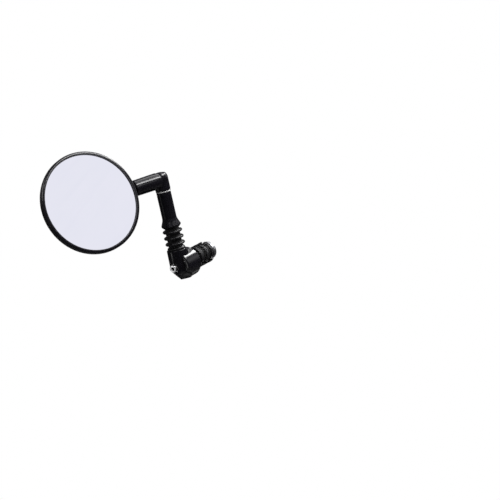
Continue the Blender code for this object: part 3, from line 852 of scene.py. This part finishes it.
# %% Elbow plug
PLUG_RADIUS, PLUG_FOOT, PLUG_BRIM, PLUG_RISE = 3.9, 77.6, 79.55, 1.15
a = np.linspace(0, np.pi / 2, 14)
cap_top = np.stack([PLUG_RADIUS * np.cos(a), PLUG_BRIM + PLUG_RISE * np.sin(a)], -1)
cap_top[-1, 0] = 0
plug_profile = np.concatenate([[(0, PLUG_FOOT), (PLUG_RADIUS, PLUG_FOOT)], cap_top])
plug = settle(turned("plug_domed", plug_profile, arm, 96))
fit(plug, "elbow", rim_black, "satin_plastic", "elbow_plug")

# %% [markdown]
# ## Washer at the swivel
#
# The elbow turns on the arm, and a thin washer of white nylon keeps the two plastics apart. Its edge
# shows as a pale line.

# %% Washer
WASHER_RADIUS, WASHER_LOW, WASHER_HIGH = 6.3, 64.1, 65.1
washer = settle(turned(
    "swivel_ring",
    rounded([(SCREW_HOLE, WASHER_LOW, 0.1), (WASHER_RADIUS, WASHER_LOW, 0.3),
             (WASHER_RADIUS, WASHER_HIGH, 0.3), (SCREW_HOLE, WASHER_HIGH, 0.1)]),
    arm, 160,
))
fit(washer, "arm", white_nylon, "nylon", "swivel_washer")

# %% [markdown]
# ## Lower arm
#
# The arm is a plain round post that flares into a collar over the rubber sleeve. A hair-thin line where
# the two halves of the mould met runs up both sides, and is worked into the radius: a small bell curve of
# the distance from the parting plane.

# %% Arm
PARTING_HEIGHT, PARTING_WIDTH = 0.035, 0.10
PARTING_TURN = math.radians(40)
OUTER_FROM = 5.0  # a radius larger than this is an outer surface


def parting_line(angle, radius, height):
    """Radius + ridge * exp(-(distance from the parting plane / width)^2), on outer surfaces only."""
    off = np.abs((angle - PARTING_TURN + np.pi / 2) % np.pi - np.pi / 2) * radius
    return radius + PARTING_HEIGHT * np.exp(-((off / PARTING_WIDTH) ** 2)) * (radius > OUTER_FROM)


lower = settle(turned(
    "arm_post",
    rounded([
        (0, 52.0), (3.9, 52.0), (3.9, 63.8), (6.1, 63.8, 0.35), (6.1, 41.4, 3.0), (6.6, 39.3, 3.0),
        (8.3, 35.3, 0.35), (8.05, 34.5, 0.3), (6.9, 33.3, 0.2), (4.3, 33.3), (4.3, 31.0, 0.2), (2.9, 31.0),
        (2.9, 44.5), (0, 44.5),
    ]),
    arm, 288, parting_line,
))
fit(lower, "arm", arm_black, "satin_plastic", "lower_arm")

# %% [markdown]
# ## Rubber sleeve
#
# Three round ribs ring the sleeve. The ribs are half circles
# on a thin wall. Soft rubber is never perfectly round, so small waves of angle and height make every
# radius a little uneven. The sleeve follows the housing at its foot and the arm at its top, and turns
# smoothly between them.

# %% Sleeve
SLEEVE_LOW, SLEEVE_HIGH = 14.5, 33.0
RIB_HEIGHTS = (19.4, 24.6, 30.0)
RIB_CREST, RIB_HALF, GROOVE, WALL = 8.3, 1.05, 6.05, 1.3


def rib(height):
    """Half a circle of the rib's half thickness, joined to the wall by short straights, from the bottom
    up."""
    turn = np.linspace(-np.pi / 2, np.pi / 2, 13)
    crest = RIB_CREST - RIB_HALF
    bow = np.stack([crest + RIB_HALF * np.cos(turn), height + RIB_HALF * np.sin(turn)], -1)
    under = height - RIB_HALF
    foot = [(GROOVE, under - 0.55), (GROOVE + 0.12, under - 0.2), (GROOVE + 0.5, under)]
    top = [(r, 2 * height - h) for r, h in foot[::-1]]
    return np.concatenate([foot, bow, top])


def rubber_wave(angle, radius, height):
    """Radius * (1 + small waves of angle and height): the sleeve isn't perfectly round."""
    return radius * (1 + 0.006 * np.sin(2 * angle + 0.9 * height) + 0.003 * np.sin(5 * angle - 0.4 * height))


hollow = [(GROOVE - WALL, SLEEVE_LOW)]
for level in RIB_HEIGHTS:
    crest_in = RIB_CREST - RIB_HALF - 1.0
    hollow += [(GROOVE - WALL, level - 1.6), (crest_in, level), (GROOVE - WALL, level + 1.6)]
hollow.append((4.6, SLEEVE_HIGH))
foot_roll = rounded([(7.5, SLEEVE_LOW), (7.5, 15.7, 0.5), (6.15, 16.9, 0.8), (6.05, 17.6)])
top_roll = [(GROOVE, SLEEVE_HIGH - 0.3), (5.9, SLEEVE_HIGH)]
ribs = [rib(level) for level in RIB_HEIGHTS]
sleeve_profile = np.concatenate([foot_roll, *ribs, top_roll, hollow[::-1]])
sleeve = settle(turned("ribbed_sleeve", sleeve_profile, arm, 160, rubber_wave))
sleeve.data.materials.append(sleeve_rubber)
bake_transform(sleeve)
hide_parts("bellows")
made_pieces.append(sleeve)
print("ribbed_sleeve:", len(sleeve.data.polygons), "faces between base and arm")

# %% [markdown]
# ## Clamp housing and cap
#
# The ball joint sits in an upright barrel, and the barrel sits in a saddle cut across a round cap, which
# rests on the end of the bar. Two flats trim the lower corners of both. The bolt's head lies in a recess
# in the barrel.

# %% Corner flats and bolt passage
CORNER_OFF = {-1: 17.3, 1: 16.7}  # of the flats on the near and far side, from the bar's end
BOLT_HOLE, BOLT_RECESS, RECESS_FLOOR = 2.3, 3.8, -20.5


def flat_tool(name, direction, distance, origin=(0, 0, 0)):
    """A box whose face is square to a direction, at a distance from an origin."""
    facing = Place(origin, direction, (0, 1, 0))
    return box_tool(name, (-40, -40, distance), (40, 40, distance + 20), facing)


def corner_tools():
    """The two slanting flats, which trim the housing and the cap alike."""
    return [
        flat_tool(f"corner_{side}", (-0.58, side * 0.54, -0.61), off)
        for side, off in CORNER_OFF.items()
    ]


def passage_tool():
    """The bolt's clearance hole and a wider recess for its head."""
    outline = [
        (0, 5), (BOLT_HOLE, 5), (BOLT_HOLE, RECESS_FLOOR), (BOLT_RECESS, RECESS_FLOOR),
        (BOLT_RECESS, -30), (0, -30),
    ]
    return turned("passage", outline, bar, 96)


# %% Housing
HOUSING_RADIUS, HOUSING_TOP, HOUSING_FOOT = 8.8, 14.2, -11.6
WELL_WIDE, WELL_LOW = 6.4, 3.4  # the hollow that the ball stands in
barrel_profile = rounded([
    (0, WELL_LOW), (WELL_WIDE, WELL_LOW), (WELL_WIDE, HOUSING_TOP, 0.2), (8.4, HOUSING_TOP, 0.45),
    (HOUSING_RADIUS, -5.0, 3.0), (HOUSING_RADIUS, HOUSING_FOOT, 3.1), (0, HOUSING_FOOT),
])
housing = turned("joint_housing", barrel_profile, arm, 192, parting_line)
settle(housing, [passage_tool(), *corner_tools()], soften=0.3)
fit(housing, "base", clamp_black, "satin_plastic", "knuckle_housing")

# %% Cap
CAP_RADIUS, CAP_LENGTH, CAP_ROUND = 12.4, 18.0, 1.8
SEAT_INNER, SEAT_RECESS = 9.3, 0.3  # a shallow recess inside the seat, over the fixed cone's flange
SADDLE_RADIUS = 9.1  # clears the housing by 0.3
FAR_SIDE, FAR_FLAT_OFF = (-0.608, 0.794, 0), 8.6
cap_profile = rounded([
    (BOLT_HOLE, -CAP_LENGTH), (CAP_RADIUS, -CAP_LENGTH, 1.0), (CAP_RADIUS, 0, CAP_ROUND),
    (SEAT_INNER, 0, 0.1), (SEAT_INNER, -SEAT_RECESS), (BOLT_HOLE, -SEAT_RECESS),
])
cap = turned("end_cap", cap_profile, bar, 224)
saddle = turned("saddle", [(0, -20), (SADDLE_RADIUS, -20), (SADDLE_RADIUS, 20), (0, 20)], arm, 192)
far_flat = flat_tool("far_flat", FAR_SIDE, FAR_FLAT_OFF, arm.origin)
settle(cap, [saddle, far_flat, *corner_tools()], soften=0.35)
fit(cap, "base", clamp_black, "satin_plastic", "bar_end_cap")

# %% [markdown]
# ## Clamp bolt
#
# A socket-head bolt runs through the housing and the expander into a nut in the bar. Its thread is a
# triangle wave of height and angle together, which makes a helix.

# %% Bolt
HEAD_FACE, HEAD_UNDER, BOLT_END = -24.4, -21.6, 33.0
HEAD_RADIUS, SHANK_RADIUS = 3.3, 2.0
THREAD_FROM, THREAD_PITCH, THREAD_DEPTH = 12.0, 0.7, 0.36
HEXAGON_ACROSS, HEXAGON_DEPTH = 3.0, 1.8


def bolt_relief(angle, radius, height):
    """Thread: radius - depth * |2 frac(height / pitch - angle / 2 pi) - 1|, which fades in over its first
    turn."""
    phase = (height / THREAD_PITCH - angle / (2 * np.pi)) % 1
    cut = THREAD_DEPTH * np.abs(2 * phase - 1) * np.clip((height - THREAD_FROM) / 0.8, 0, 1)
    cut = cut * (radius > SHANK_RADIUS - 0.1) * (height < BOLT_END - 0.3)
    return radius - cut


threads = np.stack([np.full(260, SHANK_RADIUS), np.linspace(THREAD_FROM, BOLT_END - 0.5, 260)], -1)
bolt_profile = np.concatenate([
    rounded([(0, HEAD_FACE), (HEAD_RADIUS, HEAD_FACE, 0.35), (HEAD_RADIUS, HEAD_UNDER, 0.2),
             (SHANK_RADIUS, HEAD_UNDER, 0.2), (SHANK_RADIUS, THREAD_FROM)])[:-1],
    threads,
    [(SHANK_RADIUS, BOLT_END - 0.45), (1.5, BOLT_END), (0, BOLT_END)],
])
bolt = turned("socket_bolt", bolt_profile, bar, 144, bolt_relief)
hexagon = prism_tool("hexagon", HEXAGON_ACROSS, HEAD_FACE - 1, HEAD_FACE + HEXAGON_DEPTH, bar)
mouth = turned(
    "mouth",
    [(0, HEAD_FACE - 1), (2.7, HEAD_FACE - 1), (1.55, HEAD_FACE + 0.15), (0, HEAD_FACE + 0.15)],
    bar, 96,
)
settle(bolt, [mouth, hexagon])
fit(bolt, "clamp_bolt", bolt_steel, "steel", "clamp_bolt")

# %% [markdown]
# ## Expander
#
# Three jaws lie round the bolt between two cones. Turning the bolt draws the far cone in, and the jaws
# spread and bite into the bar. Their outer faces have rows of blunt teeth, which are a wave of height,
# and two rubber rings hold them together. The jaws' profile is carried through its own part of the circle
# only, and both ends are closed.

# %% Jaws
JAW_ENDS = (6.0, 23.0)
JAW_RADIUS, JAW_SPAN = 9.3, math.radians(100)
CONE_SLOPE = math.tan(math.radians(25))
RING_PLACES = (11.0, 18.0)
CONE_BIG, CONE_TIP = 7.6, 3.2
FRONT_CONE, NUT_CONE, NUT_END = 3.3, 25.7, 28.7
FLANGE_RADIUS, FLANGE_FROM = 9.0, 0.3
TOOTH_DEPTH, TOOTH_PITCH = 0.28, 1.1
GROOVE_RADIUS, GROOVE_HALF = 7.6, 2.1  # where a rubber ring lies in the jaws
JAW_CLEARANCE, JAW_BORE = 0.46, 3.9


def jaw_profile():
    """Outside: jaw radius - tooth * |wave of height|, with a groove for each ring. Inside: parallel to
    the cones."""
    height = np.linspace(*JAW_ENDS, 141)
    tooth = TOOTH_DEPTH * np.abs(np.sin(np.pi * (height - JAW_ENDS[0]) / TOOTH_PITCH)) ** 2
    outside = JAW_RADIUS - TOOTH_DEPTH + tooth
    for level in RING_PLACES:
        outside = np.where(np.abs(height - level) < GROOVE_HALF, GROOVE_RADIUS, outside)
    nearest = np.minimum(height - FRONT_CONE, NUT_CONE - height)
    inside = np.maximum(CONE_BIG + JAW_CLEARANCE - nearest * CONE_SLOPE, JAW_BORE)
    return np.concatenate([np.stack([outside, height], -1), np.stack([inside, height], -1)[::-1]])


def swept(name, profile, place, centre, span, around=40):
    """Point(i, angle) = (r cos, r sin, h) over part of a circle. The two ends are closed by quads that
    join each point of the outside to the point of the inside at the same height."""
    angle = centre + np.linspace(-span / 2, span / 2, around)[None, :]
    radius, height = profile[:, :1] + 0 * angle, profile[:, 1:] + 0 * angle
    points = np.stack([radius * np.cos(angle), radius * np.sin(angle), height], -1).reshape(-1, 3)
    number = np.arange(profile.shape[0] * around).reshape(-1, around)
    above = np.roll(number, -1, axis=0)
    sides = np.stack([number[:, :-1], number[:, 1:], above[:, 1:], above[:, :-1]], -1).reshape(-1, 4)
    half = len(profile) // 2
    outside, inside = np.arange(half), np.arange(len(profile) - 1, half - 1, -1)
    ends = []
    for column, order in ((0, 1), (around - 1, -1)):
        out_row, in_row = number[outside, column], number[inside, column]
        cap_faces = np.stack([out_row[:-1], out_row[1:], in_row[1:], in_row[:-1]], -1)
        ends.append(cap_faces[:, ::order])
    return lay(name, place.points(points), np.concatenate([sides] + ends).tolist())


for index in range(3):
    name = f"jaw_{index + 1}"
    jaw = swept(f"toothed_{name}", jaw_profile(), bar, 2 * np.pi / 3 * index, JAW_SPAN)
    settle(jaw)
    fit(jaw, name, inner_black, "inner_plastic", name)

# %% Cones and rings
tip = (CONE_BIG - CONE_TIP) / CONE_SLOPE
front_cone = settle(turned(
    "fixed_cone",
    rounded([(BOLT_HOLE, FLANGE_FROM, 0.1), (FLANGE_RADIUS, FLANGE_FROM, 0.35),
             (FLANGE_RADIUS, FRONT_CONE, 0.25), (CONE_BIG, FRONT_CONE),
             (CONE_TIP, FRONT_CONE + tip, 0.2), (BOLT_HOLE, FRONT_CONE + tip)]),
    bar, 128,
))
fit(front_cone, "bar_plug", inner_black, "inner_plastic", "front_cone")
nut = settle(turned(
    "drawing_nut",
    rounded([(BOLT_HOLE, NUT_CONE - tip), (CONE_TIP, NUT_CONE - tip, 0.2), (CONE_BIG, NUT_CONE, 0.25),
             (CONE_BIG, NUT_END, 0.4), (BOLT_HOLE, NUT_END, 0.15)]),
    bar, 128,
))
fit(nut, "cone_nut", cast_zinc, "zinc", "cone_nut")
BAND_RADIUS, BAND_HALF = 8.75, 0.45
a = np.linspace(0, 2 * np.pi, 24, endpoint=False)
bands = {"band_front": "garter_front", "band_rear": "garter_rear"}
for (name, node_name), level in zip(bands.items(), RING_PLACES):
    loop = np.stack([BAND_RADIUS + BAND_HALF * np.cos(a), level + BAND_HALF * np.sin(a)], -1)
    band = settle(turned(name, loop, bar, 128))
    fit(band, "bar_plug", band_rubber, "rubber", node_name)

# %% [markdown]
# ## Pieces that stay as they are
#
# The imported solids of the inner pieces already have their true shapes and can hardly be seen, so they
# stay. Each gets the finish of its real material.

# %% Finishes of the carried-over pieces
inner_finishes = {}
for finish, names in (
    (pale_nylon, ("ball_cup", "friction_sleeve", "pivot_saddle")),
    (black_foam, ("glass_pad",)),
    (screw_steel, ("preload_spring", "retaining_nut", "ball_stud", "swivel_screw", "cone_spring",
                   "thrust_washer", "spindle_grub")),
    (spindle_steel, ("pivot_spindle", "retaining_clip")),
    (saddle_steel, ("saddle_screw_1", "saddle_screw_2")),
    (turned_brass, ("swivel_insert",)),
    (bolt_steel, ("bolt_washer",)),
):
    inner_finishes.update(dict.fromkeys(names, finish))
for name, finish in inner_finishes.items():
    carried = frame["nodes"][name]
    carried.data.materials.clear()
    carried.data.materials.append(finish)
shown = [name for name, carried in frame["nodes"].items() if not carried.hide_render]
print("carried over:", len(shown), "without a finish:", sorted(set(shown) - set(inner_finishes)))

# %% [markdown]
# ## Sizes and the end
#
# The finished mirror must be as large as the imported one, whose size is printed at the start. Here only
# the new pieces' faces are counted.

# %% Count the faces
print(sum(len(piece.data.polygons) for piece in made_pieces), "faces in", len(made_pieces), "new pieces")
